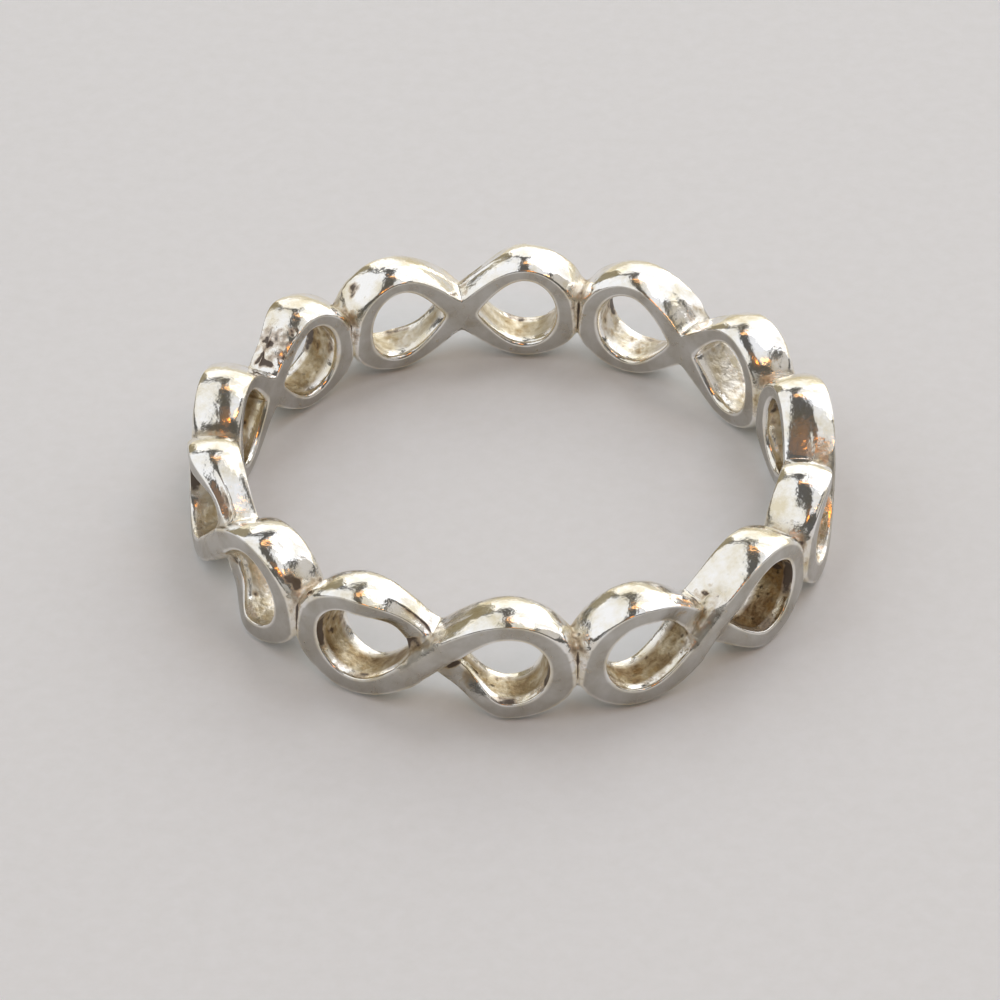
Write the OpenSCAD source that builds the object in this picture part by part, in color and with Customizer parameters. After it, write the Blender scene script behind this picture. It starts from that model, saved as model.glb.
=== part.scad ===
/* [Band] */
// Inside diameter of the band, which is the finger's own size
inside_d = 17.3; // [15.6:0.1:21]
// Thickness of the band, from its finger side to its outer face
wall = 1.65; // [1.4:0.05:2]
// Height of the band along the finger
band_h = 3.8; // [3.4:0.05:4.4]

/* [Figure eights] */
// How many figure eights go round the band
motif_count = 7; // [6:1:8]
// Width of the strand over the crest of a loop
crest_w = 0.66; // [0.45:0.01:0.8]
// Width of the strand on the side where two figure eights touch
side_w = 0.88; // [0.6:0.01:1.1]
// Distance from the middle of a crossing to the tip of the hole beside it
tip_gap = 0.72; // [0.5:0.01:0.9]
// Height of the waist, where the two strands of a figure eight cross
waist_h = 1.35; // [1:0.05:1.6]
// Height over which two figure eights touch each other
joint_h = 1.45; // [1:0.05:1.7]

/* [Relief] */
// Depth by which the strand that passes below dips at the crossing
step = 0.55; // [0.3:0.01:0.65]
// Size of the soft edge along every strand
soft = 0.16; // [0.08:0.01:0.2]

/* [Hidden] */

silver = "#c9c5bb";
outer_r = inside_d / 2 + wall;
loop_count = 2 * motif_count;
// Arc of one loop on the outer face, from its crossing to its joint
loop_arc = PI * outer_r * 2 / loop_count;
half_h = band_h / 2;
hole_h = half_h - crest_w;
// Crest of a loop, measured along the arc from the crossing
crest_at = loop_arc - side_w - hole_h;
// The front view looks on the figure eight whose crossing lies 13.9 degrees left of the middle
first_crossing = -13.9;

// Stations along half a loop: crossing to crest, crest to joint, and half the joint's height
crossing_steps = 7;
joint_steps = 6;
contact_steps = 2;
half_steps = crossing_steps + joint_steps + contact_steps;
last = 2 * half_steps;
notch_station = crossing_steps + joint_steps;
// Angle from the crest, round the hole, at which the joint's notch is reached
notch_turn = 62;
// How full the loop's outline is on the side of the joint: 1 is a plain wave, less is rounder
joint_fullness = 0.62;
// Share of an inset that is left in the notches, where metal fills the corner
notch_share = 0.3;
// Stations before the crossing over which the lower strand dips
dip_steps = 7;

// The bore is cut into metal that reaches this share of the wall below it
bore_spare = -0.15;
// Level of the lower strand's edge at the crossing, as a share of the wall
under_level = 1 - (step + soft) / wall;
edge_level = 1 - soft / wall;

// Section of a strand, anticlockwise from the hole's finger side:
// across (0 is the hole's wall, 1 the outer one), inset in soft edges, level as a share of the wall
HOLE_WALL = [
    [0.00, 1.0, bore_spare],
    [0.00, 0.1, 0.16],
    [0.00, 0.0, under_level]];
OUTER_FACE = [
    [0.00, 0.0, edge_level],
    [0.18, 0.3, 1 - 0.25 * soft / wall],
    [0.50, 0.5, 1],
    [0.82, 0.8, 1 - 0.25 * soft / wall],
    [1.00, 1.0, edge_level]];
RIM_WALL = [
    [1.00, 0.3, under_level],
    [1.00, 0.0, 0.45],
    [1.00, 0.3, 0.16],
    [1.00, 1.7, bore_spare]];
SECTION = concat(HOLE_WALL, OUTER_FACE, RIM_WALL);
rows = len(SECTION);
tip_edge = len(HOLE_WALL);
tip_under = tip_edge - 1;
notch_under = rows - len(RIM_WALL);
notch_edge = notch_under - 1;

// Height of a rounded wave at a share of the way from its crest to its end
function wave(share, crest, end, fullness) = end + (crest - end) * pow(max(cos(90 * share), 0), fullness);

// Point on the hole's edge, grown by an inset, at a station of the upper half
function hole_point(i, inset) = i <= crossing_steps
    ? let (share = 1 - i / crossing_steps, reach = crest_at - tip_gap + inset)
        [crest_at - share * reach, wave(share, hole_h + inset, 0, 1)]
    : let (turn = i <= notch_station
            ? notch_turn * (i - crossing_steps) / joint_steps
            : notch_turn + (90 - notch_turn) * (i - notch_station) / contact_steps)
        [crest_at + (hole_h + inset) * sin(turn), (hole_h + inset) * cos(turn)];

// Point on the loop's outline, drawn in by an inset, at a station of the upper half
function outline_point(i, inset) = i <= crossing_steps
    ? let (share = 1 - i / crossing_steps)
        [crest_at - share * crest_at,
         wave(share, half_h - inset, waist_h / 2 - notch_share * inset, 1)]
    : i <= notch_station
    ? let (share = sin(90 * (i - crossing_steps) / joint_steps))
        [crest_at + share * (loop_arc - crest_at),
         wave(share, half_h - inset, joint_h / 2 - notch_share * inset, joint_fullness)]
    : [loop_arc, (joint_h / 2 - notch_share * inset) * (half_steps - i) / contact_steps];

// How far the strand has dipped at a station: 0 along the loop, 1 at its lower end
function dip(j) = j < last - dip_steps ? 0 : (1 - cos(180 * (j - last + dip_steps) / dip_steps)) / 2;

// Distance from the axis, with the dip of the lower strand and the groove between two figure eights
function reach(j, k) = inside_d / 2 + wall * SECTION[k][2]
    - (k >= tip_edge && k <= notch_edge ? step * dip(j) : 0)
    - (k == notch_edge && in_contact(j) ? step / 2 : 0);

function in_contact(j) = j >= notch_station && j <= last - notch_station;

// Place along the arc and above the middle, for a loop that lies right of its crossing
function flat_point(j, k) =
    let (i = min(j, last - j),
         side = j <= half_steps ? 1 : -1,
         inset = SECTION[k][1] * soft,
         across = SECTION[k][0],
         p = hole_point(i, inset) * (1 - across) + outline_point(i, inset) * across)
    [p[0], side * p[1]];

// A point of the band: even loops lie left of their crossing, as the odd ones turned half round
function band_point(c, j, k) =
    let (hand = c % 2 == 0 ? -1 : 1,
         p = hand * flat_point(j, k),
         turn = first_crossing + floor(c / 2) * 360 / motif_count + p[0] / outer_r * 180 / PI)
    [reach(j, k) * sin(turn), -reach(j, k) * cos(turn), half_h + p[1]];

// Index of a point, where neighbours share the points of a hole's tip, a notch and a joint
function shared(c, j, k) =
    j == last && k <= tip_edge ? own(c, 0, min(k, tip_under))
    : j == last && k >= notch_edge ? own(c % 2 == 0 ? c + 1 : c - 1, 0, max(k, notch_under))
    : in_contact(j) && k >= notch_edge && c % 2 == 0 ? own((c + loop_count - 1) % loop_count, last - j, k)
    : own(c, j, k);
function own(c, j, k) = (c * (last + 1) + j) * rows + k;

// Faces along one loop's strand, left open where it touches the next figure eight
function strand_faces(c) = [
    for (j = [0 : last - 1], k = [0 : rows - 1])
        if (!(j >= notch_station && j < last - notch_station && k >= notch_edge && k < rows - 1))
            let (n = (k + 1) % rows,
                 a = shared(c, j, k), b = shared(c, j + 1, k),
                 d = shared(c, j + 1, n), e = shared(c, j, n))
            each [[a, e, b], if (b != d) [b, e, d]]];

// Top of the upper strand, the finger side and the two steps down, where a figure eight crosses
function crossing_faces(c) =
    let (left = function(k) own(c, 0, k), right = function(k) own(c + 1, 0, k))
    [for (k = [tip_edge : notch_edge - 1])
        let (n = tip_edge + notch_edge - k)
        each [[left(k), right(n), left(k + 1)], [left(k + 1), right(n), right(n - 1)]],
     [left(0), left(rows - 1), right(rows - 1)],
     [right(0), right(rows - 1), left(rows - 1)],
     each step_faces(c, c + 1),
     each step_faces(c + 1, c)];

// Wall from the edge of the upper strand down to the end of the lower strand of loop c
function step_faces(c, other) =
    let (tip = own(c, 0, tip_edge), notch = own(other, 0, notch_edge),
         floor_at = function(k) shared(c, last, k), middle = (tip_edge + notch_edge) / 2)
    [for (k = [tip_edge : middle - 1]) [tip, floor_at(k), floor_at(k + 1)],
     [tip, floor_at(middle), notch],
     for (k = [middle : notch_edge - 1]) [notch, floor_at(k), floor_at(k + 1)]];

module infinity_band() {
    color(silver) difference() {
        polyhedron(
            points = [for (c = [0 : loop_count - 1], j = [0 : last], k = [0 : rows - 1]) band_point(c, j, k)],
            faces = [
                for (c = [0 : loop_count - 1]) each strand_faces(c),
                for (c = [0 : 2 : loop_count - 1]) each crossing_faces(c)]);
        translate([0, 0, -1]) cylinder(d = inside_d, h = band_h + 2, $fn = 180);
    }
}

infinity_band();
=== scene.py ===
# %% [markdown]
# # An infinity ring in worn silver
# The real ring is a cast silver band. Seven lying figure eights stand in a row round the finger.
# Each one is a flat strand that passes over itself once, and it touches its neighbours at the sides.
# This lesson builds the band as one surface, gives it a polished and a rough finish, and lights it.
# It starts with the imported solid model, whose sizes it keeps and whose place it takes.

# %% Load the solid model
import math

import bpy
import numpy as np
from mathutils import Matrix, Vector


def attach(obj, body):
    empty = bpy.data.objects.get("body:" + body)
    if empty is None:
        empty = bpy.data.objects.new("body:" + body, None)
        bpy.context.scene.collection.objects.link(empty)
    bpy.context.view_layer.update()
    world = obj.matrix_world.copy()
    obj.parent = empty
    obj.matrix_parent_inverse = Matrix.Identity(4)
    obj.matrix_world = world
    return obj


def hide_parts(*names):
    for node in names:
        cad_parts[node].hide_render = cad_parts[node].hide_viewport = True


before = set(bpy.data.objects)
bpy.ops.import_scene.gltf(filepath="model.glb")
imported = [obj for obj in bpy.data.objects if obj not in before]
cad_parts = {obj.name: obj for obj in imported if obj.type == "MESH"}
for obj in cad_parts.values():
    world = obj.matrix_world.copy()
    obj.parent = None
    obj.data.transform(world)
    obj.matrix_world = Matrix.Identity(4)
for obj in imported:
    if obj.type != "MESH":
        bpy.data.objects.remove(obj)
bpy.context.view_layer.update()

# %% [markdown]
# ## The camera
# The ring lies flat and is seen from in front and above, from about 13 cm, with a long lens.
# The place comes from lines fitted to the crossings and crests, so it is set as a distance, a height
# angle and three small turns, not by eye.

# %% Camera
MM = 0.001
outer_r = 10.3
height_angle = math.radians(37.463)
distance = 12.992 * outer_r
small_turns = [math.radians(a) for a in (0.159, 0.205, -0.981)]
# The lens is known in pixels of a picture that is 1000 wide; the sensor is in millimetres
focal_pixels, picture_width, sensor_width = 4164.96, 1000, 36


def camera_axes(height, turns):
    """Direction of the camera from the origin, then its right, up and forward.

    It looks at the origin, and is then turned a little about its up, its right and its forward line.
    """
    place = Vector((0, -math.cos(height), math.sin(height)))
    right, forward = Vector((1, 0, 0)), -place
    up = right.cross(forward)
    turn = Matrix.Rotation(turns[0], 3, up)
    forward, right = turn @ forward, turn @ right
    turn = Matrix.Rotation(turns[1], 3, right)
    forward, up = turn @ forward, turn @ up
    turn = Matrix.Rotation(turns[2], 3, forward)
    return place, turn @ right, turn @ up, forward


def in_scene(name, data):
    """New object with its data, in the scene."""
    made = bpy.data.objects.new(name, data)
    bpy.context.scene.collection.objects.link(made)
    return made


def add_camera():
    """Camera at its distance from the origin, with the lens turned from pixels to millimetres."""
    place, right, up, forward = camera_axes(height_angle, small_turns)
    data = bpy.data.cameras.new("camera")
    data.sensor_width = sensor_width
    data.lens = sensor_width * focal_pixels / picture_width
    data.clip_start = 0.01
    camera = in_scene("camera", data)
    turned = Matrix((right, up, -forward)).transposed().to_4x4()
    camera.matrix_world = Matrix.Translation(place * distance * MM) @ turned
    bpy.context.scene.camera = camera
    return camera


camera = add_camera()
print("camera stands at", [round(v, 4) for v in camera.matrix_world.translation])

# %% [markdown]
# ## The figure eight as a drawing
# Rolled out flat, the band is a row of loops. A loop has a teardrop hole and an outline that is round
# at the crest and drops into a notch on both sides. Two curves per loop are enough: the hole's edge
# and the outline. They are worked out for a list of stations from the crossing to the joint.

# %% Sizes of the figure eight, in millimetres
inside_r = 8.65
wall = outer_r - inside_r
band_h = 3.8
half_h = band_h / 2
motif_count = 7
crest_w = 0.66
side_w = 0.88
tip_gap = 0.72
waist_h = 1.35
joint_h = 1.45
loop_arc = math.pi * outer_r / motif_count
hole_h = half_h - crest_w
crest_at = loop_arc - side_w - hole_h
print("a loop is", round(loop_arc, 2), "mm long, its hole", round(2 * hole_h, 2), "mm high")

# %% Stations along half a loop
# The first stations make a short ramp at the crossing, and those after it stand closer near the ramp
ramp_steps, strand_steps, joint_steps, contact_steps = 8, 22, 20, 5
ramp_reach = 0.1
even_part, crowded_part, crowding = 0.55, 0.45, 1.6
ramp_turn = np.linspace(math.pi / 2, 0, ramp_steps + 1)
to_crest = np.linspace(0, 1, strand_steps + 1)[1:]
crossing_part = np.concatenate([
    ramp_reach * (1 - np.sin(ramp_turn)),
    ramp_reach + (1 - ramp_reach) * (even_part * to_crest + crowded_part * to_crest ** crowding)])
joint_part = np.linspace(0, 1, joint_steps + 1)[1:]
contact_part = np.linspace(0, 1, contact_steps + 1)[1:]
half_count = len(crossing_part) + len(joint_part) + len(contact_part)
notch_station = len(crossing_part) + len(joint_part) - 1
print(half_count, "stations from a crossing to the middle of a joint")


# %% Rounded starts of a curve
def softened(share, radius):
    """A share of the way whose start is rounded.

    It is the root of share squared plus radius squared, less the radius, divided by its value at 1.
    """
    top = np.sqrt(1 + radius ** 2) - radius
    return (np.sqrt(share ** 2 + radius ** 2) - radius) / top


def rounded_tip(share, radius):
    """A share of the way that starts upright, as a hyperbola does at its tip."""
    return np.sqrt(((share + radius) ** 2 - radius ** 2) / ((1 + radius) ** 2 - radius ** 2))


print("a tenth of the way becomes", softened(0.1, 0.1).round(3), "softened and",
      rounded_tip(0.1, 0.05).round(3), "at a rounded tip")

# %% Edge of the hole
tip_radius = 0.05
# Degrees round the hole, from the crest, at which the strand reaches the notch of the joint
notch_turn = 62


def hole_curve(grow):
    """Edge of the hole: a quarter sine from its tip to the crest, then a circle round to the joint.

    Grow moves the edge into the strand, and has one value for every row of the section.
    """
    share = crossing_part[:, None] + 0 * grow
    rise = (hole_h + grow) * np.sin(0.5 * np.pi * rounded_tip(share, tip_radius))
    first = np.stack([crest_at - (1 - share) * (crest_at - tip_gap + grow), rise], -1)
    degrees = np.concatenate([notch_turn * joint_part, notch_turn + (90 - notch_turn) * contact_part])
    turn = np.radians(degrees)[:, None] + 0 * grow
    second = np.stack([crest_at + (hole_h + grow) * np.sin(turn), (hole_h + grow) * np.cos(turn)], -1)
    return np.concatenate([first, second])


print("the hole's edge starts at", hole_curve(np.zeros(1))[0, 0], "and ends at",
      hole_curve(np.zeros(1))[-1, 0].round(2))

# %% Outline of the loop
# Share of an inset that is left in the notches, where metal fills the corner
notch_share = 0.3
# The wave down to the joint is a cosine to this power, and would end this far below the notch
joint_fullness, foot_drop = 0.55, 0.3
least_round, valley_round = 0.02, 0.8


def outline_curve(shrink, valley, groove, saddle):
    """Outline of the loop: a quarter sine from the waist to the crest, then a full wave down to the joint.

    Valley is how far the notches at both ends are filled into a round, groove is how far the strand's
    soft edge stays away from the neighbour's at the joint, and saddle lifts the metal between them.
    Groove has a value for every station and row, the others one for every row.
    """
    share = crossing_part[:, None] + 0 * shrink
    low, high = waist_h / 2 - notch_share * shrink, half_h - shrink
    lift = softened(share, valley / crest_at)
    first = np.stack([crest_at * share, low + (high - low) * np.sin(0.5 * np.pi * lift)], -1)
    part = np.sin(0.5 * np.pi * joint_part)[:, None] + 0 * shrink
    foot, fill = joint_h / 2 - foot_drop, joint_h / 2 - notch_share * shrink + saddle
    fall = foot + (high - foot) * np.maximum(np.cos(0.5 * np.pi * part), 0) ** joint_fullness
    blend = least_round + valley_round * valley
    filled = 0.5 * (fall + fill + np.sqrt((fall - fill) ** 2 + blend ** 2))
    to_joint = loop_arc - groove[len(crossing_part):]
    second = np.stack([crest_at + part * (to_joint[:len(part)] - crest_at), filled], -1)
    notch = second[-1:, :, 1]
    down = notch * (1 - contact_part)[:, None]
    third = np.stack([to_joint[len(part):], down], -1)
    return np.concatenate([first, second, third])


plain = outline_curve(np.zeros(1), np.zeros(1), np.zeros((half_count, 1)), np.zeros(1))[:, 0]
print("the outline is", plain[0, 1], "mm above the middle at the crossing,", plain[:, 1].max().round(2),
      "at the crest and", plain[notch_station, 1].round(2), "at the joint")


# %% [markdown]
# ## The section of the strand
# Cut across, the strand is a tall rectangle with soft corners, because the wax model was filed and
# the cast ring was tumbled. The section is a closed row of points. Each point says how far across the
# strand it lies, how far it is drawn in from the hole's edge or from the outline, and its height above
# the finger side.

# %% Section of the strand: sizes
# Steps of the parts, in order: soft foot and wall of the hole, shoulder, outer face, rim, finger side
foot_steps, wall_steps, shoulder_steps, face_steps, rim_steps, bore_steps = 4, 12, 5, 8, 23, 8
foot_inset, foot_level = 0.12, 0.2
wall_run, wall_belly = wall - 0.28, 0.006
shoulder_start, shoulder_end, shoulder_inset, shoulder_drop = wall - 0.08, wall - 0.03, 0.045, 0.01
face_dip, crown_h = 0.028, 0.012
rim_top = wall - 0.04
face_rim_inset, bore_rim_inset = 0.15, 0.23
print("the hole's wall is straight over", round(wall_run, 2), "mm of", round(wall, 2))


# %% Section of the strand: rows
def corner(count, start_inset, start_level, end_inset, end_level, upright_first):
    """Quarter ellipse between two points, starting upright or flat."""
    turn = np.linspace(0, np.pi / 2, count + 1)
    fast, slow = np.sin(turn), 1 - np.cos(turn)
    across, along = (slow, fast) if upright_first else (fast, slow)
    return (start_inset + (end_inset - start_inset) * across,
            start_level + (end_level - start_level) * along)


def rim_bulge(place):
    """Inset of the rim from its middle, where place is 0, to its outer edge, 1, and its finger edge, -1.

    It grows with place squared, and a root of 1 less place to the power of 8 rounds both edges.
    """
    bulge = np.where(place > 0, 0.125, 0.18) * place ** 2
    return bulge + np.where(place > 0, 0.025, 0.05) * (1 - np.sqrt(1 - np.abs(place) ** 8))


def strand_section():
    """Across, inset at the hole, inset at the rim and level of every row, hole side first."""
    rows = []

    def add(*columns):
        rows.append(np.stack(np.broadcast_arrays(*columns), 1))

    inset, level = corner(foot_steps, foot_inset, 0, 0, foot_level, False)
    add(0.0, inset[:-1], 0.0, level[:-1])
    up = np.linspace(0, 1, wall_steps + 1)
    add(0.0, -wall_belly * np.sin(np.pi * up), 0.0, foot_level + wall_run * up)
    inset, level = corner(shoulder_steps, 0, shoulder_start, shoulder_inset, shoulder_end, True)
    add(0.0, inset[1:], 0.0, level[1:] - shoulder_drop)
    across = np.linspace(0, 1, face_steps + 1)[1:]
    add(across, shoulder_inset, face_rim_inset, wall - face_dip - crown_h * np.abs(2 * across - 1) ** 3)
    place = np.cos(np.linspace(0, np.pi, rim_steps + 1)[1:])
    add(1.0, 0.0, rim_bulge(place), 0.5 * rim_top * (1 + place))
    back = np.linspace(1, 0, bore_steps + 1)[1:-1]
    add(back, foot_inset, bore_rim_inset, 0.0)
    return np.concatenate(rows)


section = strand_section()
row_count = len(section)
across, hole_inset, rim_inset, level = section.T
print(row_count, "points round the section")

# %% Rows where the strand meets its neighbours
# The outer face ends some steps down the rim, and the rims of two figure eights touch over the next ones
edge_steps, touching_steps = 6, 10
face_start = foot_steps + wall_steps
face_end = face_start + shoulder_steps + face_steps + edge_steps
rim_end = face_end + touching_steps
bore_start = row_count - bore_steps
face_rows, bore_rows = np.arange(face_start, face_end + 1), np.r_[bore_start:row_count, 0]
# A groove narrows from both faces towards the rows that touch, along a curve rather than a straight line
outer_groove, finger_groove, groove_power = 0.3, 0.26, 0.6
face_drop = np.clip((rim_top - level) / (rim_top - level[face_end]), 0, 1)
finger_drop = np.clip(level / level[rim_end], 0, 1)
groove = outer_groove * (1 - face_drop ** groove_power) + finger_groove * (1 - finger_drop ** groove_power)
print("the outer face has rows", face_start, "to", face_end, "and the rims touch to row", rim_end)

# %% [markdown]
# ## One loop of strand
# Every station joins a point of the hole's edge to a point of the outline, and the section stands
# between them. The strand that passes below sinks towards the crossing, then a short steep ramp climbs
# to the edge of the upper strand. So both strands are one skin, as in a casting. Each crossing of the
# real ring was filed by hand to a depth of its own, so the depths are a list.

# %% Depths of the crossings and fillings of the notches
# How far the lower strand sinks, and how much more beside its hole, for each figure eight
crossing_depths = [(0.60, 0.12), (0.40, 0.04), (0.48, 0.05), (0.45, 0.05),
                   (0.45, 0.0), (0.5, 0.05), (0.5, 0.05)]
sink_from, sink_to = 0.35 * wall, 0.85 * wall
rim_roll = 0.1
# How far the groove of a joint is open above, in the middle and below
high_open, middle_open, low_open = 1.1, 0.5, 0.1
fill_share, fill_margin = 0.75, 0.05
# Rounding of the notches, and the lift of the metal between two rims, which is highest at one level
valley_depth, saddle_lift, saddle_level, saddle_width = 0.13, 0.13, 0.85, 0.38


def smooth(x):
    """Smooth step from 0 to 1: three times the square less twice the cube."""
    x = np.clip(x, 0, 1)
    return x * x * (3 - 2 * x)


def bump(distance, width):
    """Round bump of height 1: e to the power of less distance over width, squared."""
    return np.exp(-(distance / width) ** 2)


valley = valley_depth * np.clip((wall - 0.7 - level) / 0.15, 0, 1)
saddle = saddle_lift * bump(level - saddle_level, saddle_width) * (across == 1)
near_joint = np.concatenate([0 * crossing_part, joint_part ** 4, np.ones(contact_steps)])
outward = smooth((level - 0.7) / 0.65) * np.maximum(wall - fill_margin - level, 0)
inward = smooth((0.9 - level) / 0.65) * np.maximum(level - fill_margin, 0)
valley_fill = fill_share * (across == 1) * (outward - inward)
print("metal in a filled groove rises by up to", valley_fill.max().round(2), "mm towards the outer face")

# %% Edges of the upper strand beside a crossing
flat_half, edge_run, edge_drop, edge_power = 0.28, 0.21, 0.28, 1.3
fade_from, fade_run = 0.5, 0.6


def rolled_edge(plan):
    """Drop of the upper strand's edges beside the crossing.

    It is a power of the distance from the strand's middle line, less the flat part, and fades with the
    distance along that line.
    """
    along_x, along_y = np.array([tip_gap, waist_h / 2]) / math.hypot(tip_gap, waist_h / 2)
    aside = np.abs(plan[..., 0] * along_y - plan[..., 1] * along_x)
    along = np.abs(plan[..., 0] * along_x + plan[..., 1] * along_y)
    fall = np.clip((aside - flat_half) / edge_run, 0, 1.3)
    return edge_drop * fall ** edge_power * (1 - smooth((along - fade_from) / fade_run))


print("the edge has dropped", rolled_edge(np.array([0.49, -0.49])).round(2), "mm half a millimetre aside")


# %% Plan of half a loop
def opened(at_notch):
    """How far the groove of a joint is open at each station: one value, then on to that of its middle."""
    level_part = np.full(half_count - contact_steps, at_notch)
    return np.concatenate([level_part, at_notch + (middle_open - at_notch) * contact_part])


def half_loop(open_share):
    """Arc and height of the upper half for each station and row: hole and outline joined across."""
    hole = hole_curve(hole_inset[None, :])
    outline = outline_curve(rim_inset[None, :], valley[None, :], open_share[:, None] * groove,
                            saddle[None, :])
    share = across[None, :, None]
    return hole * (1 - share) + outline * share


print("half a loop is a grid of", half_loop(opened(high_open)).shape[:2], "points")


# %% Steps across the crossing
def between(first, second, share):
    """Points on the straight line between two points, at each share of the way."""
    return first + (second - first) * share[:, None]


def even_share(points):
    """Share of the way along a row of points, made the same from both ends."""
    run = np.concatenate([[0], np.cumsum(np.linalg.norm(np.diff(points, axis=0), axis=1))])
    run /= run[-1]
    return 0.5 * (run + 1 - run[::-1])


start_plan = half_loop(opened(high_open))[0]
face_share, bore_share = even_share(start_plan[face_rows]), even_share(start_plan[bore_rows])
print("steps across the outer face:", face_share.round(2))

# %% Loop surface
dip_from, dip_run = 0.95, 0.72
ramp_bend = 1.25


def ramp_end(start):
    """Row of points at which the lower strand's ramp ends: on the edges of both ends of upper strand."""
    turned = start * [-1, -1, 1]
    target = np.empty((row_count, 3))
    target[:face_start + 1] = start[:face_start + 1]
    target[face_end:] = turned[face_end:]
    target[face_rows] = between(start[face_start], turned[face_end], face_share)
    target[bore_start:] = between(turned[bore_start], start[0], bore_share)[:-1]
    return target


def right_loop(upper_open, lower_open, step, hole_drop):
    """Arc, height and level of a loop that lies right of its crossing; its upper strand starts on top.

    The level sinks with a smooth step towards the lower end, and the last stations are blended by a
    power of their nearness to the crossing into the end of the ramp.
    """
    upper = half_loop(opened(upper_open))
    lower = half_loop(opened(lower_open))[-2::-1] * [1, -1]
    plan = np.concatenate([upper, lower])
    dip = np.zeros(len(plan))
    dip[-len(crossing_part):] = smooth((dip_from - crossing_part[::-1]) / dip_run)
    dip = dip[:, None]
    sink = smooth((level - sink_from) / (sink_to - sink_from))
    depth = level - step * dip * sink - hole_drop * dip ** 2 * (1 - across) ** 2 * sink
    plan[:, :, 1] += rim_roll * dip * across * smooth((level - 0.6) / 0.9) ** 1.5
    upper_part = slice(0, len(crossing_part))
    depth[upper_part] -= rolled_edge(plan[upper_part]) * smooth((level - 0.95) / 0.4)
    filled_up, filled_down = [(1 - opened(share)) * near_joint for share in (upper_open, lower_open)]
    depth += np.concatenate([filled_up, filled_down[-2::-1]])[:, None] * valley_fill
    target = ramp_end(np.column_stack([upper[0], depth[0]]))
    blend = np.zeros(len(plan))
    blend[-ramp_steps - 1:] = (1 - crossing_part[ramp_steps::-1] / ramp_reach) ** ramp_bend
    blend = blend[:, None, None]
    points = np.concatenate([plan, depth[:, :, None]], 2)
    return points * (1 - blend) + target[None] * blend


right_loops = [right_loop(high_open, low_open, *depths) for depths in crossing_depths]
left_loops = [right_loop(low_open, high_open, *depths) * [-1, -1, 1] for depths in crossing_depths]
loop = right_loops[0]
print("one loop has", loop.shape[0], "stations and", loop.shape[1], "rows")

# %% [markdown]
# ## The crossing
# Two ends of upper strand face each other across the middle of a figure eight. A patch joins them
# on the outer face and another on the finger side. Each patch is ruled: straight lines run from a
# point of one end to the matching point of the other.

# %% Crossing patches
def ruled(first, second, share):
    """Grid of straight lines from a row of points to the matching row, with a stop at each share."""
    return first[:, None] + (second - first)[:, None] * share[None, :, None]


left_end, right_end = loop[0] * [-1, -1, 1], loop[0]
outer_patch = ruled(left_end[face_rows], right_end[face_rows][::-1], face_share)
bore_patch = ruled(left_end[bore_rows], right_end[bore_rows][::-1], bore_share)
print("outer patch", outer_patch.shape[:2], "finger side patch", bore_patch.shape[:2])


# %% [markdown]
# ## The whole band
# The loops and patches are bent round the finger: the arc becomes an angle, the level a distance from
# the axis. Points that meet are merged, so the band is one closed skin. Every point also gets four
# numbers for its finish, because one metal is polished, satin or as cast in different places.

# %% Grid faces
def grid_faces(rows, columns, closed, skip=None):
    """Corner numbers of the quads of a grid; a closed grid joins its last column to the first."""
    wide = columns if closed else columns - 1
    r, c = np.meshgrid(np.arange(rows - 1), np.arange(wide), indexing="ij")
    n = (c + 1) % columns
    quads = np.stack([r * columns + c, (r + 1) * columns + c, (r + 1) * columns + n, r * columns + n], -1)
    return quads[~skip] if skip is not None else quads.reshape(-1, 4)


# Quads of a loop's rim that lie in the joint, inside the metal
station, row = np.meshgrid(np.arange(len(loop) - 1), np.arange(row_count), indexing="ij")
in_joint = ((station >= notch_station) & (station < len(loop) - 1 - notch_station)
            & (row >= face_end) & (row < rim_end))
print(int(in_joint.sum()), "quads of each loop are left out at its joint")


# %% Bend the pieces round the finger
# Turn of the first crossing from the front, in degrees
first_crossing = -13.9


def bend(flat, motif):
    """Places in millimetres of flat points of one figure eight.

    The angle is arc over radius, and the distance from the axis is finger radius plus level.
    """
    turn = np.radians(first_crossing + motif * 360 / motif_count) + flat[..., 0] / outer_r
    reach = inside_r + flat[..., 2]
    return np.stack([reach * np.sin(turn), -reach * np.cos(turn), half_h + flat[..., 1]], -1)


print("the first crest stands at", bend(np.array([crest_at, half_h, wall]), 0).round(2))

# %% Finish of every point
# Brown and pitted, from 0 to 1, for the left and the right hole of each figure eight
hole_tones = [((0.55, 0.3), (0.55, 0.5)), ((0.58, 0.9), (0.75, 0.9)), ((0.45, 0.4), (0.45, 0.4)),
              ((0.22, 0.3), (0.22, 0.2)), ((0.35, 0.1), (0.32, 0.1)), ((0.50, 0.3), (0.60, 0.2)),
              ((0.35, 0.1), (0.28, 0.2))]
# The wall of a hole stays as cast, apart from its soft edges
wall_share = smooth((level - 0.2) / 0.35) * (1 - smooth((level - wall + 0.42) / 0.14)) * (across == 0)


def loop_finish(brown, pitted):
    """As cast, flat side, brown and pitted: four numbers for every point of a loop."""
    flat_side = ((across > 0) & (across < 1)).astype(float)
    row = np.stack([wall_share, flat_side, np.full(row_count, brown), np.full(row_count, pitted)], 1)
    return np.repeat(row[None], len(loop), 0)


patch_finish = np.broadcast_to([0.0, 1.0, 0.3, 0.0], (*outer_patch.shape[:2], 4))
print(int((wall_share > 0.5).sum()), "of", row_count, "rows are left as cast")


# %% Put the band together
def merged(points):
    """Number of the first point at each place, and for every point the number of its place.

    Places are told apart on a grid of a hundred-thousandth of a millimetre. The grid is shifted, so
    that no round number lies on the border between two of its cells.
    """
    keys = np.round(points * 1e5 + 0.2357).astype(np.int64)
    return np.unique(keys, axis=0, return_index=True, return_inverse=True)[1:]


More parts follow.
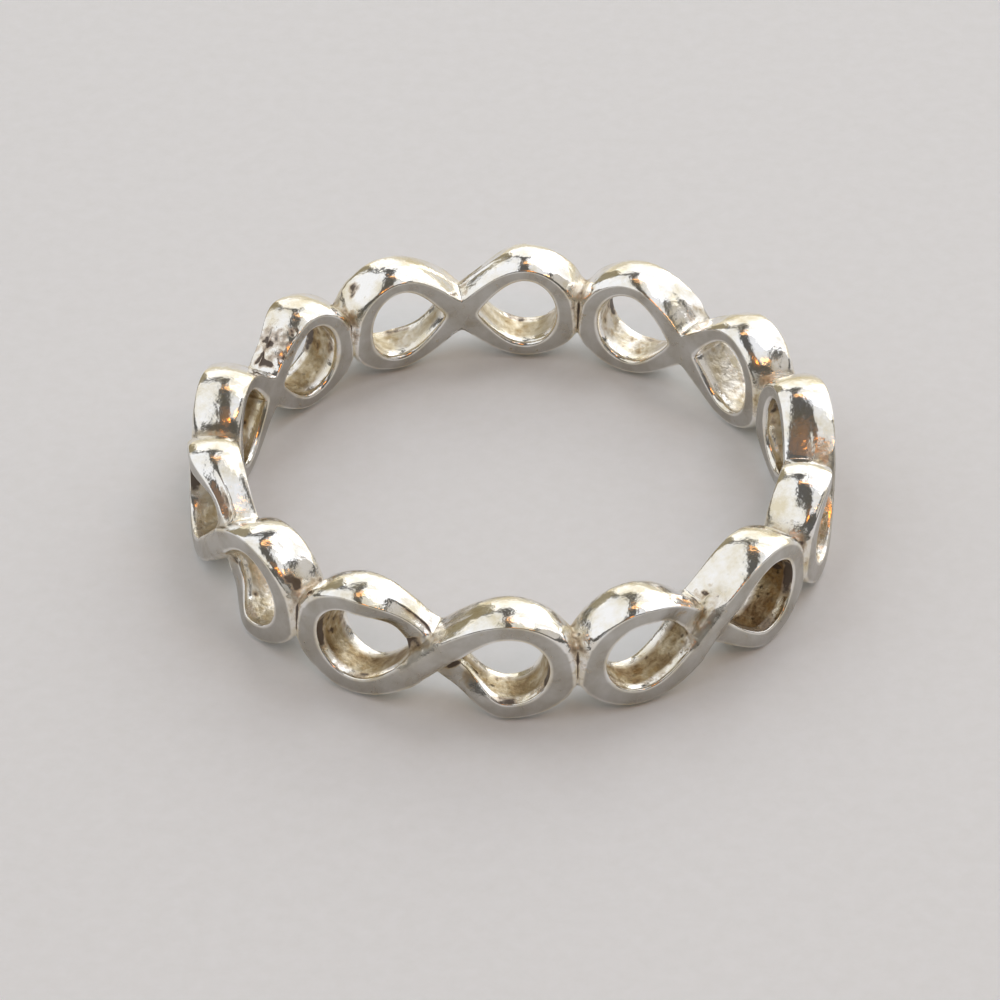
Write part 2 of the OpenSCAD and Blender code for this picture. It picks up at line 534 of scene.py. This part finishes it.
def band_grid():
    """Points, quads and finish of all loops and patches, merged where they meet, without unused points."""
    points, quads, finish, total = [], [], [], 0
    for motif in range(motif_count):
        left_tones, right_tones = hole_tones[motif]
        pieces = [(right_loops[motif], in_joint, loop_finish(*right_tones)),
                  (left_loops[motif], in_joint, loop_finish(*left_tones)),
                  (outer_patch, None, patch_finish),
                  (bore_patch, None, patch_finish[:len(bore_patch), :len(bore_patch)])]
        for flat, skip, marks in pieces:
            quads.append(grid_faces(flat.shape[0], flat.shape[1], skip is not None, skip) + total)
            points.append(bend(flat, motif).reshape(-1, 3))
            finish.append(marks.reshape(-1, 4))
            total += flat.shape[0] * flat.shape[1]
    points, quads, finish = map(np.concatenate, (points, quads, finish))
    first, place = merged(points)
    used, corners = np.unique(place.reshape(-1)[quads], return_inverse=True)
    return points[first][used], corners.reshape(-1, 4), finish[first][used]


points, quads, finish = band_grid()
cast = finish[:, 0]
print(len(points), "points and", len(quads), "quads")


# %% Directions and hollows of a grid
def point_normals(points, quads):
    """Outward direction at every point: the crosses of the diagonals of its quads, added up."""
    a, b, c, d = points[quads].transpose(1, 0, 2)
    face = np.cross(c - a, d - b)
    total = np.stack([np.bincount(quads.ravel(), np.repeat(face[:, k], 4)) for k in range(3)], 1)
    return total / np.linalg.norm(total, axis=1)[:, None]


def spread(values, quads, times):
    """Average over the quads round each point, several times."""
    count = np.bincount(quads.ravel())
    for _ in range(times):
        face = values[quads].mean(1)
        values = np.bincount(quads.ravel(), np.repeat(face, 4)) / count
    return values


def averaged(points, quads, times):
    """Every point moved to the average of those round it, several times."""
    return np.stack([spread(points[:, k], quads, times) for k in range(3)], 1)


def hollowness(points, quads, times):
    """How far the neighbourhood of a point lies above it: above zero in a hollow, below on an edge."""
    return np.sum((averaged(points, quads, times) - points) * point_normals(points, quads), 1)


melt_times, hollow_times = 12, 10
print("deepest hollow of the clean band:", hollowness(points, quads, hollow_times).max().round(3), "mm")


# %% [markdown]
# ## Soft metal in the notches
# Where figure eights meet, and in the corners beside a crossing, the wax model was joined with a drop
# of wax, and the casting filled the sharp corners further. The metal there is round, and no file
# reached it. So the points near these places are drawn to the average of those round them, which
# melts the creases and leaves the rest as it was.

# %% Places on the band
def on_band(turn, reach, height):
    """Place at a turn from the front, in degrees, a distance from the axis and a height, in millimetres."""
    turn = np.radians(turn)
    return np.array([reach * np.sin(turn), -reach * np.cos(turn), height])


def distance_to(points, start, end=None):
    """Distance of every point from a place, or from the straight line between two places."""
    if end is None:
        return np.linalg.norm(points - start, axis=1)
    way = end - start
    share = np.clip((points - start) @ way / (way @ way), 0, 1)
    return np.linalg.norm(points - start - share[:, None] * way, axis=1)


crossing_turns = first_crossing + np.arange(motif_count) * 360 / motif_count
joint_reach = 9.5
joint_tops = [on_band(turn + 180 / motif_count, joint_reach, 2.75) for turn in crossing_turns]
crossing_notches = [on_band(turn, 9.7, 2.6) for turn in crossing_turns]
print("joints at", (crossing_turns + 180 / motif_count).round(1), "degrees from the front")


# %% Melted notches
melt_width, valley_width = 0.34, 0.2


def joint_valleys(top):
    """Upper and lower end of the valley line of a joint, on the outer face and on the finger side."""
    return [(top * [side, side, 0.95], top * [side, side, 0.45])
            for side in (outer_r / joint_reach, inside_r / joint_reach)]


def melted(points, quads):
    """Points drawn to the average of those round them where metal fills a notch, by a share up to 1."""
    share = np.zeros(len(points))
    for top in joint_tops:
        bar = top * [0.9, 0.9, 0.98], top * [1.1, 1.1, 0.98]
        share = np.maximum(share, bump(distance_to(points, *bar), melt_width))
        for ends in joint_valleys(top):
            share = np.maximum(share, 0.7 * bump(distance_to(points, *ends), valley_width))
    for notch in crossing_notches:
        share = np.maximum(share, 0.8 * bump(distance_to(points, notch), melt_width))
    return points + share[:, None] * (averaged(points, quads, melt_times) - points)


soft_points = melted(points, quads)
print("melting moved points by up to", np.abs(soft_points - points).max().round(3), "mm")

# %% [markdown]
# ## Places that no polish reached
# The slopes beside a crossing, where the upper strand stands above the lower one, and the fillings of
# the joints are too tight for a polishing wheel. They keep a dull skin like that of the holes, a
# little paler. Each slope is a line, and the skin fades with the distance from it.

# %% Unpolished slopes and fillings
turn_per_mm = 180 / math.pi / outer_r
slopes = [(on_band(turn - side * 0.95 * turn_per_mm, 10.0, half_h - side * 0.15),
           on_band(turn + side * 0.3 * turn_per_mm, 9.85, half_h + side * 0.85))
          for side in (1, -1) for turn in crossing_turns]
fillings = [(top * [0.92, 0.92, 1.0], top * [1.08, 1.08, 0.98]) for top in joint_tops]
beside = np.max([bump(distance_to(points, *ends), 0.32) for ends in slopes], 0)
filled = np.max([bump(distance_to(points, *ends), 0.26) for ends in fillings], 0)
unpolished = np.maximum(beside, 0.85 * filled)
cast = np.maximum(cast, 0.9 * unpolished)
finish[:, 2] += unpolished * (0.2 - finish[:, 2])
print("unpolished share", round(float(np.mean(unpolished > 0.5)), 3))


# %% [markdown]
# ## Marks of making and wear
# The strand isn't perfect. Filing and tumbling leave slow waves in the polished faces, so a
# reflection wobbles along them. The walls of the holes were never polished: they keep the grain of the
# casting, with lumps and pits. One loop has a patch of casting lumps on its top, and there are a few
# dents and scratches. All are moves of the points along their direction, worked out from noise on a
# lattice with a fixed seed or from round bumps at places on the band.

# %% Lattice noise
def lattice_noise(places, cell, seed):
    """Values from -1 to 1: random numbers on a lattice of cells, mixed smoothly between eight corners."""
    lattice = np.random.default_rng(seed).uniform(-1, 1, (32, 32, 32))
    scaled = places / cell + 100
    base = np.floor(scaled).astype(int)
    part = scaled - base
    part = part * part * part * (part * (part * 6 - 15) + 10)
    total = 0
    for corner_number in range(8):
        step_by = np.array([corner_number >> k & 1 for k in range(3)])
        weight = np.prod(np.where(step_by, part, 1 - part), 1)
        total = total + weight * lattice[tuple(((base + step_by) % 32).T)]
    return total


print("noise at the first points:", lattice_noise(points[:4], 1.5, 1).round(2))

# %% Places of the marks
# Turn, distance from the axis, height, width and rise; a dent has a rise below zero
lumps = [
    (-123.4, 9.47, 3.45, 0.10, 0.060), (-120.2, 9.17, 2.93, 0.16, 0.060), (-122.2, 8.80, 3.14, 0.11, 0.050),
    (-123.1, 9.15, 3.34, 0.11, 0.045), (-125.9, 9.18, 3.60, 0.14, 0.025), (-125.6, 9.57, 3.59, 0.10, 0.025),
    (-119.4, 8.87, 2.82, 0.12, 0.050), (-120.9, 9.55, 3.08, 0.10, 0.045), (-121.3, 9.33, 3.12, 0.09, -0.06),
    (-124.8, 8.81, 3.42, 0.10, -0.05), (-119.6, 9.45, 2.96, 0.09, -0.05), (-120.6, 8.70, 2.89, 0.10, -0.05),
    (-124.6, 9.30, 3.50, 0.09, -0.035), (-145.4, 9.55, 3.20, 0.16, -0.05),
    (-146.9, 9.60, 3.36, 0.10, -0.03), (-42.8, 9.90, 3.15, 0.14, -0.04), (-41.2, 9.95, 2.98, 0.12, -0.04),
    (-40.9, 9.60, 2.95, 0.13, 0.05)]
scratch_ends = [
    (on_band(-152.1, 9.91, 3.71), on_band(-151.7, 9.48, 3.75)),
    (on_band(-151.7, 9.48, 3.75), on_band(-152.9, 9.34, 3.78)),
    (on_band(-148.8, 9.91, 3.53), on_band(-148.4, 9.45, 3.55)),
    (on_band(-148.4, 9.45, 3.55), on_band(-149.2, 9.22, 3.60)),
    (on_band(-129.7, 9.65, 3.79), on_band(-131.0, 9.32, 3.80)),
    (on_band(37.0, 9.20, 2.62), on_band(37.6, 9.95, 2.66)),
    (on_band(39.2, 9.30, 2.70), on_band(39.8, 9.90, 2.80))]
dent_rib = on_band(-144.7, 9.89, 3.04), on_band(-143.0, 8.96, 2.70)
lumpy_place = on_band(-121.5, 9.3, 3.2)
print(len(lumps), "lumps and dents,", len(scratch_ends), "short grooves and a rib")


# %% Waves, casting grain and marks
def slow_waves(points):
    """Rise of the polished faces: three noises whose waves are 1.5, 0.6 and 0.28 mm long."""
    return (0.012 * lattice_noise(points, 1.5, 1) + 0.009 * lattice_noise(points, 0.6, 2)
            + 0.003 * lattice_noise(points, 0.28, 6))


def casting_grain(points):
    """Rise of a wall as cast: two noises for its grain, and pits where a third noise is high."""
    grain = 0.026 * lattice_noise(points, 0.55, 3) + 0.014 * lattice_noise(points, 0.26, 4)
    return grain + -0.05 * smooth((lattice_noise(points, 0.3, 5) - 0.62) / 0.3)


def single_marks(points, move):
    """The move with every lump, dent, scratch and drop of filling added, as round bumps."""
    for turn, reach, height, width, rise in lumps:
        move = move + rise * bump(distance_to(points, on_band(turn, reach, height)), width)
    for ends in scratch_ends:
        move = move - 0.03 * bump(distance_to(points, *ends), 0.06)
    move = move + 0.05 * bump(distance_to(points, *dent_rib), 0.07)
    lumpy = bump(distance_to(points, lumpy_place), 0.8)
    move = move + lumpy * (0.03 * lattice_noise(points, 0.24, 9) + 0.012 * lattice_noise(points, 0.13, 10))
    for place, share in [(p, 0.022) for p in joint_tops] + [(p, 0.02) for p in crossing_notches]:
        move = move + share * bump(distance_to(points, place), 0.35) * lattice_noise(points, 0.22, 8)
    return move


def worn_surface(points, quads, cast):
    """Points moved along their direction, and then held inside the height and radius of the band."""
    move = single_marks(points, slow_waves(points) + cast * casting_grain(points))
    moved = points + point_normals(points, quads) * move[:, None]
    moved[:, 2] = np.clip(moved[:, 2], 0, band_h)
    reach = np.hypot(moved[:, 0], moved[:, 1])
    moved[:, :2] *= np.minimum(outer_r / reach, 1)[:, None]
    return moved


points = worn_surface(soft_points, quads, cast * (0.5 + 0.6 * finish[:, 3]))
print("wear moved points by up to", np.abs(points - soft_points).max().round(3), "mm")

# %% [markdown]
# ## Dirt, tarnish and painted shade
# Silver turns yellow and then brown, and a polishing cloth takes that off every edge it reaches. What
# it can't reach keeps it: hollows, pits, the lumpy patch, and the lines where two figure eights meet.
# Along those lines the darkness is partly painted shade, darker towards the top of each valley.
# Two numbers per point say this. One is measured on the surface, how hollow it is, and the other is
# set at listed places.

# %% Where dirt and tarnish stay
# A hollow of this depth, in millimetres, is full of dirt
full_hollow = 0.03
lumpy = bump(distance_to(points, lumpy_place), 0.75)
hollow = hollowness(points, quads, hollow_times) / full_hollow * (1 - 0.6 * cast) * (1 + 2 * lumpy)
hollow = np.clip(hollow, -1, 1)
# Turn, distance from the axis, height, width and darkness
spots = [
    (-145.9, 9.66, 3.30, 0.17, 0.85), (-145.0, 9.44, 3.14, 0.14, 0.7), (-146.8, 9.50, 3.38, 0.11, 0.5),
    (-42.3, 9.95, 3.08, 0.20, 0.9), (-41.0, 9.85, 2.92, 0.22, 0.9), (-120.0, 9.42, 2.98, 0.16, 0.55),
    (-124.8, 8.84, 3.42, 0.14, 0.6), (-120.6, 8.72, 2.89, 0.14, 0.5), (-125.4, 8.90, 3.50, 0.12, 0.6),
    (-122.0, 9.34, 3.22, 0.10, 0.6)]
stain_and_shade = np.zeros(len(points))
for turn, reach, height, width, dark in spots:
    stain_and_shade = np.maximum(stain_and_shade, dark * bump(distance_to(points, on_band(turn, reach, height)), width))
stain_and_shade = np.maximum(stain_and_shade, 0.46 * lumpy)
# At the joints the stain is partly tarnish and partly painted shade: a band over the top of each joint, and
# a line down each valley that is darker towards its top
for top in joint_tops:
    bridge = top * [0.95, 0.95, 0.94], top * [1.08, 1.08, 0.92]
    stain_and_shade = np.maximum(stain_and_shade, 0.45 * bump(distance_to(points, *bridge), 0.3))
    for upper, lower in joint_valleys(top):
        dark = 0.1 + 0.5 * np.clip((points[:, 2] - lower[2]) / (upper[2] - lower[2]), 0, 1)
        stain_and_shade = np.maximum(stain_and_shade, dark * bump(distance_to(points, upper, lower), valley_width))
stain_and_shade = np.maximum(stain_and_shade, 0.2 * beside)
print("hollow share", round(float(np.mean(hollow > 0.3)), 3), "stained share",
      round(float(np.mean(stain_and_shade > 0.3)), 3))


# %% [markdown]
# ## The mesh
# Until here the band was arrays. Now they become a mesh object. Its six attributes carry the finish
# to the material, and it takes the place of the solid model's band.

# %% Mesh from points and quads
def signed_volume(mesh):
    """Sum over the faces of the volume to the origin; it is above zero where faces point outwards."""
    mesh.calc_loop_triangles()
    places = np.empty(len(mesh.vertices) * 3)
    mesh.vertices.foreach_get("co", places)
    corners = np.empty(len(mesh.loop_triangles) * 3, np.int32)
    mesh.loop_triangles.foreach_get("vertices", corners)
    a, b, c = places.reshape(-1, 3)[corners.reshape(-1, 3)].transpose(1, 0, 2)
    return float(np.sum(a * np.cross(b, c)) / 6)


mesh = bpy.data.meshes.new("infinity_ring")
mesh.from_pydata((points * MM).tolist(), [], quads.tolist())
mesh.validate()
mesh.polygons.foreach_set("use_smooth", np.ones(len(mesh.polygons), bool))
mesh.update()
for name, values in [("as_cast", cast), ("flat_side", finish[:, 1]), ("brown", finish[:, 2]),
                     ("pitted", finish[:, 3]), ("hollow", hollow), ("stain_and_shade", stain_and_shade)]:
    mesh.attributes.new(name, "FLOAT", "POINT").data.foreach_set("value", values.astype(np.float32))
print("volume", round(signed_volume(mesh) * 1e9, 2), "mm3,", len(mesh.loop_triangles), "triangles")

# %% The ring takes the place of the solid band
ring = in_scene("infinity_ring", mesh)
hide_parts("infinity_band")
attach(ring, "root")
print("the ring stands at", tuple(ring.location))


# %% Colours and nodes
def colour(code):
    """Linear colour from an sRGB hex code."""
    parts = [int(code[k:k + 2], 16) / 255 for k in (1, 3, 5)]
    return tuple(p / 12.92 if p <= 0.04045 else ((p + 0.055) / 1.055) ** 2.4 for p in parts) + (1,)


def node(tree, kind, inputs=(), stops=(), **settings):
    """Add a node, set its properties, set or link its inputs, and give a colour ramp its stops."""
    made = tree.nodes.new(kind)
    for name, value in settings.items():
        setattr(made, name, value)
    for name, value in dict(inputs).items():
        if isinstance(value, bpy.types.NodeSocket):
            tree.links.new(value, made.inputs[name])
        else:
            made.inputs[name].default_value = value
    for number, (spot, code) in enumerate(stops):
        element = made.color_ramp.elements[number] if number < 2 else made.color_ramp.elements.new(spot)
        element.position, element.color = spot, colour(code)
    return made


def per_metre(millimetres):
    """Texture scale whose pattern repeats at a real size."""
    return 1000 / millimetres


def new_material(name):
    """Material with an empty node tree."""
    material = bpy.data.materials.new(name)
    material.use_nodes = True
    material.node_tree.nodes.clear()
    return material, material.node_tree


print("middle grey #808080 is", [round(v, 3) for v in colour("#808080")[:3]], "in linear light")

# %% [markdown]
# ## Worn silver
# Cast silver that was tumbled is bright white metal with a faint warmth. Here it was worn for years:
# the tops are polished but wavy, the outer face has a satin of fine scratches and a grey tone that is
# painted shade, and the walls of the holes keep the grain of the casting, browned by tarnish. One
# material holds all three finishes and the attributes of the mesh say where each lies, so the finishes
# melt into each other as on the real ring.

# %% Silver: where each finish lies
silver, tree = new_material("polished and as-cast silver")
place = node(tree, "ShaderNodeTexCoord").outputs["Object"]
as_cast, flat_side, brown, pitted, hollow_part, stain_and_shade_fac = [
    node(tree, "ShaderNodeAttribute", attribute_name=name).outputs["Fac"]
    for name in ("as_cast", "flat_side", "brown", "pitted", "hollow", "stain_and_shade")]
print("attributes read:", [n.attribute_name for n in tree.nodes if n.type == "ATTRIBUTE"])

# %% Silver: patterns, each at its real size
clouds = node(tree, "ShaderNodeTexNoise", {
    "Vector": place, "Scale": per_metre(1.1), "Detail": 4.0, "Roughness": 0.6}).outputs["Fac"]
regions = node(tree, "ShaderNodeTexNoise", {
    "Vector": place, "Scale": per_metre(0.8), "Detail": 3.0, "Roughness": 0.55}).outputs["Fac"]
ripple = node(tree, "ShaderNodeTexNoise", {
    "Vector": place, "Scale": per_metre(0.24), "Detail": 2.0, "Roughness": 0.5}).outputs["Fac"]
# Casting grain is about 0.1 mm wide; it is drawn at 0.24 mm so that it shows
grain = node(tree, "ShaderNodeTexNoise", {
    "Vector": place, "Scale": per_metre(0.24), "Detail": 4.0, "Roughness": 0.55}).outputs["Fac"]
# Tumbling scratches are some thousandths of a millimetre wide; they are drawn at 0.07 mm so that they show
scratches = node(tree, "ShaderNodeTexNoise", {
    "Vector": place, "Scale": per_metre(0.07), "Detail": 3.0, "Roughness": 0.6}).outputs["Fac"]
pit_spacing = 0.3
cells = node(tree, "ShaderNodeTexVoronoi", {
    "Vector": place, "Scale": per_metre(pit_spacing)}).outputs["Distance"]
print(len(tree.nodes), "nodes so far")

# %% Silver: gas pits of the casting
pit_reach = 0.26
pit_core = node(tree, "ShaderNodeMapRange", {
    "Value": cells, "From Min": 0.08, "From Max": pit_reach,
    "To Min": 1.0, "To Max": 0.0}).outputs["Result"]
pit_gate = node(tree, "ShaderNodeMapRange", {
    "Value": grain, "From Min": 0.42, "From Max": 0.52, "To Min": 1.0, "To Max": 0.0}).outputs["Result"]
pit_core = node(tree, "ShaderNodeMath", {0: pit_core, 1: pit_gate}, operation="MULTIPLY").outputs["Value"]
pits = node(tree, "ShaderNodeMath", {0: pit_core, 1: pitted}, operation="MULTIPLY").outputs["Value"]
print("a pit is up to", round(2 * pit_reach * pit_spacing, 2), "mm wide")

# %% Silver: dirt in hollows, yellow where it is thin and brown where it is thick, and painted shade in the joints
deepest = node(tree, "ShaderNodeMath", {0: hollow_part, 1: stain_and_shade_fac}, operation="MAXIMUM").outputs["Value"]
soil_and_shade = node(tree, "ShaderNodeMath", {
    0: ripple, 1: 0.9, 2: deepest}, operation="MULTIPLY_ADD").outputs["Value"]
soil_and_shade_share = node(tree, "ShaderNodeMapRange", {
    "Value": soil_and_shade, "From Min": 0.62, "From Max": 1.05, "To Min": 0.0, "To Max": 0.9}).outputs["Result"]
soil_and_shade_tone = node(tree, "ShaderNodeValToRGB", {"Fac": soil_and_shade}, [
    (0.60, "#dfc88c"), (1.02, "#4a3522"), (0.82, "#b08c50")]).outputs["Color"]
print(len(tree.nodes), "nodes so far")

# %% Silver: colours of the polished metal, and of the satin metal with its painted shade
polished = node(tree, "ShaderNodeValToRGB", {"Fac": clouds}, [
    (0.40, "#fdfcfa"), (0.66, "#e8dec4"), (0.52, "#f6f2e8")]).outputs["Color"]
# The satin of the flat sides is partly worn scratches and partly painted shade: its grey tone, far darker
# than silver, stands in for the dark reflection these faces show
satin_with_painted_shade = node(tree, "ShaderNodeValToRGB", {"Fac": clouds}, [
    (0.35, "#c6c4bf"), (0.75, "#a8a092"), (0.55, "#b8b4ac")]).outputs["Color"]
print("the polished metal reflects", round(colour("#f6f2e8")[0], 2), "of red light, the satin",
      round(colour("#b8b4ac")[0], 2))

# %% Silver: colours of the metal as cast, from pale yellow to dark brown
brownness = node(tree, "ShaderNodeMath", {
    0: regions, 1: 1.1, 2: brown}, operation="MULTIPLY_ADD").outputs["Value"]
brownness = node(tree, "ShaderNodeMath", {
    0: grain, 1: 0.5, 2: brownness}, operation="MULTIPLY_ADD").outputs["Value"]
brownness = node(tree, "ShaderNodeMapRange", {
    "Value": brownness, "From Min": 0.85, "From Max": 2.0}).outputs["Result"]
cast_tone = node(tree, "ShaderNodeValToRGB", {"Fac": brownness}, [
    (0.05, "#f1ebdf"), (0.95, "#38281a"), (0.28, "#d4c8ad"), (0.48, "#af9c7a"),
    (0.70, "#7a6041")]).outputs["Color"]
cast_tone = node(tree, "ShaderNodeMixRGB", {
    "Fac": pits, "Color1": cast_tone, "Color2": colour("#2c2116")}).outputs["Color"]
tone = node(tree, "ShaderNodeMixRGB", {
    "Fac": flat_side, "Color1": polished, "Color2": satin_with_painted_shade}).outputs["Color"]
tone = node(tree, "ShaderNodeMixRGB", {
    "Fac": as_cast, "Color1": tone, "Color2": cast_tone}).outputs["Color"]
tone = node(tree, "ShaderNodeMixRGB", {
    "Fac": soil_and_shade_share, "Color1": tone, "Color2": soil_and_shade_tone}).outputs["Color"]
print(len(tree.nodes), "nodes so far")

# %% Silver: roughness, from mirror to dull
mirror = node(tree, "ShaderNodeMapRange", {
    "Value": clouds, "From Min": 0.35, "From Max": 0.75, "To Min": 0.08, "To Max": 0.19}).outputs["Result"]
scratched = node(tree, "ShaderNodeMapRange", {
    "Value": clouds, "From Min": 0.35, "From Max": 0.75, "To Min": 0.18, "To Max": 0.32}).outputs["Result"]
dull = node(tree, "ShaderNodeMix", {"Factor": flat_side, "A": mirror, "B": scratched}).outputs["Result"]
sandy = node(tree, "ShaderNodeMapRange", {
    "Value": brownness, "From Min": 0.2, "From Max": 0.8, "To Min": 0.4, "To Max": 0.56}).outputs["Result"]
dull = node(tree, "ShaderNodeMix", {"Factor": as_cast, "A": dull, "B": sandy}).outputs["Result"]
dull = node(tree, "ShaderNodeMix", {"Factor": soil_and_shade_share, "A": dull, "B": 0.55}).outputs["Result"]
# Dirt isn't metal, so the metal gives way to it, and to the painted shade in the joints as well
metal = node(tree, "ShaderNodeMapRange", {
    "Value": soil_and_shade_share, "To Min": 1.0, "To Max": 0.3}).outputs["Result"]
print(len(tree.nodes), "nodes so far")

# %% Silver: small unevenness
wobble = node(tree, "ShaderNodeBump", {
    "Height": ripple, "Strength": 1.0, "Distance": 0.000012}).outputs["Normal"]
haze = node(tree, "ShaderNodeBump", {
    "Height": scratches, "Strength": 0.35, "Distance": 0.000006, "Normal": wobble}).outputs["Normal"]
casting = node(tree, "ShaderNodeMath", {
    0: pits, 1: -1.2, 2: grain}, operation="MULTIPLY_ADD").outputs["Value"]
coarse = node(tree, "ShaderNodeMath", {
    0: pitted, 1: 0.7, 2: 0.35}, operation="MULTIPLY_ADD").outputs["Value"]
coarse = node(tree, "ShaderNodeMath", {0: coarse, 1: as_cast}, operation="MULTIPLY").outputs["Value"]
casting = node(tree, "ShaderNodeBump", {
    "Height": casting, "Strength": coarse, "Distance": 0.00008, "Normal": haze}).outputs["Normal"]
shader = node(tree, "ShaderNodeBsdfPrincipled", {
    "Base Color": tone, "Metallic": metal, "Roughness": dull, "Normal": casting})
node(tree, "ShaderNodeOutputMaterial", {"Surface": shader.outputs["BSDF"]})
mesh.materials.append(silver)
print("silver has", len(tree.nodes), "nodes")

# %% [markdown]
# ## The floor
# The ring lies on plain pale paper. It takes a soft shadow and shows in the outer face as a pale
# reflection, so its tone matters: it is a near-white grey, rough enough to have no shine.

# %% Floor
floor_half = 0.8
floor_mesh = bpy.data.meshes.new("floor")
corners = [(x * floor_half, y * floor_half, 0) for x, y in ((-1, -1), (1, -1), (1, 1), (-1, 1))]
floor_mesh.from_pydata(corners, [], [(0, 1, 2, 3)])
floor = in_scene("floor", floor_mesh)
paper, paper_tree = new_material("pale matt paper")
fibres = node(paper_tree, "ShaderNodeTexNoise", {
    "Vector": node(paper_tree, "ShaderNodeTexCoord").outputs["Object"],
    "Scale": per_metre(0.6), "Detail": 4.0, "Roughness": 0.7}).outputs["Fac"]
paper_tone = node(paper_tree, "ShaderNodeValToRGB", {"Fac": fibres}, [
    (0.3, "#eceded"), (0.7, "#f0f1f2")]).outputs["Color"]
paper_shader = node(paper_tree, "ShaderNodeBsdfPrincipled", {"Base Color": paper_tone, "Roughness": 0.85})
node(paper_tree, "ShaderNodeOutputMaterial", {"Surface": paper_shader.outputs["BSDF"]})
floor_mesh.materials.append(paper)
print("floor is", 2 * floor_half, "m wide")

# %% [markdown]
# ## Light
# Polished metal shows its surroundings more than itself. The real ring's tops are bright where they
# mirror wide lights low behind it and at both sides, grey where they mirror weaker ones, and dark where
# they mirror the space above and in front. So three wide softboxes stand behind, left and right. Weaker
# fills stand over the right side, low at the right and in front, and two dim walls give cream and beige.
# A brown card and three small warm lamps give the brown streaks and the orange sparks.

# %% Lights
def sky_place(turn, height, distance):
    """Place at a turn from the front towards the right, a height angle and a distance from the ring."""
    turn, height = math.radians(turn), math.radians(height)
    flat = math.cos(height) * distance
    return Vector((flat * math.sin(turn), -flat * math.cos(turn), math.sin(height) * distance))


def softbox(name, turn, height, distance, size, brightness, tint="#ffffff"):
    """Area light facing the ring; its power is brightness times pi times its area."""
    data = bpy.data.lights.new(name, "AREA")
    data.shape = "RECTANGLE"
    data.size, data.size_y = size
    data.energy = brightness * math.pi * size[0] * size[1]
    data.color = colour(tint)[:3]
    spot = sky_place(turn, height, distance)
    turned = (-spot).to_track_quat("-Z", "Y").to_matrix().to_4x4()
    in_scene(name, data).matrix_world = Matrix.Translation(spot) @ turned


softbox("back softbox", 170, 28, 0.7, (0.74, 0.38), 1.05, "#fffefa")
softbox("cream wall behind", 160, 6, 0.9, (1.5, 0.26), 0.7, "#f0e6cc")
softbox("beige wall at the left", -150, 16, 0.85, (0.42, 0.5), 0.3, "#d2c08c")
softbox("left softbox", -92, 46, 0.7, (1.25, 0.86), 0.84, "#fcfdff")
softbox("right softbox", 138, 38, 0.7, (0.62, 0.80), 1.03, "#f8faff")
softbox("side fill", 97, 68, 0.7, (0.8, 0.36), 0.78, "#f8faff")
softbox("low fill at the right", 88, 31, 0.75, (0.66, 0.38), 0.5, "#f6f0e8")
softbox("front fill", 0, 16, 0.8, (0.6, 0.25), 0.3)
softbox("brown card", 6, 58, 0.5, (0.16, 0.30), 0.3, "#a06a34")
softbox("warm lamp", 12, 55, 0.45, (0.09, 0.06), 4, "#ffa040")
softbox("warm lamp at the right", 60, 50, 0.45, (0.035, 0.05), 6, "#ffb040")
softbox("warm lamp above", 178, 66, 0.45, (0.10, 0.04), 1.8, "#ffbe7c")

# %% Dim room
world = bpy.data.worlds.new("studio")
world.use_nodes = True
room = world.node_tree.nodes["Background"]
room.inputs["Color"].default_value = colour("#b5b1ab")
room.inputs["Strength"].default_value = 0.22
bpy.context.scene.world = world
bpy.context.scene.view_settings.view_transform = "Standard"
print("colours are shown with the view", bpy.context.scene.view_settings.view_transform)
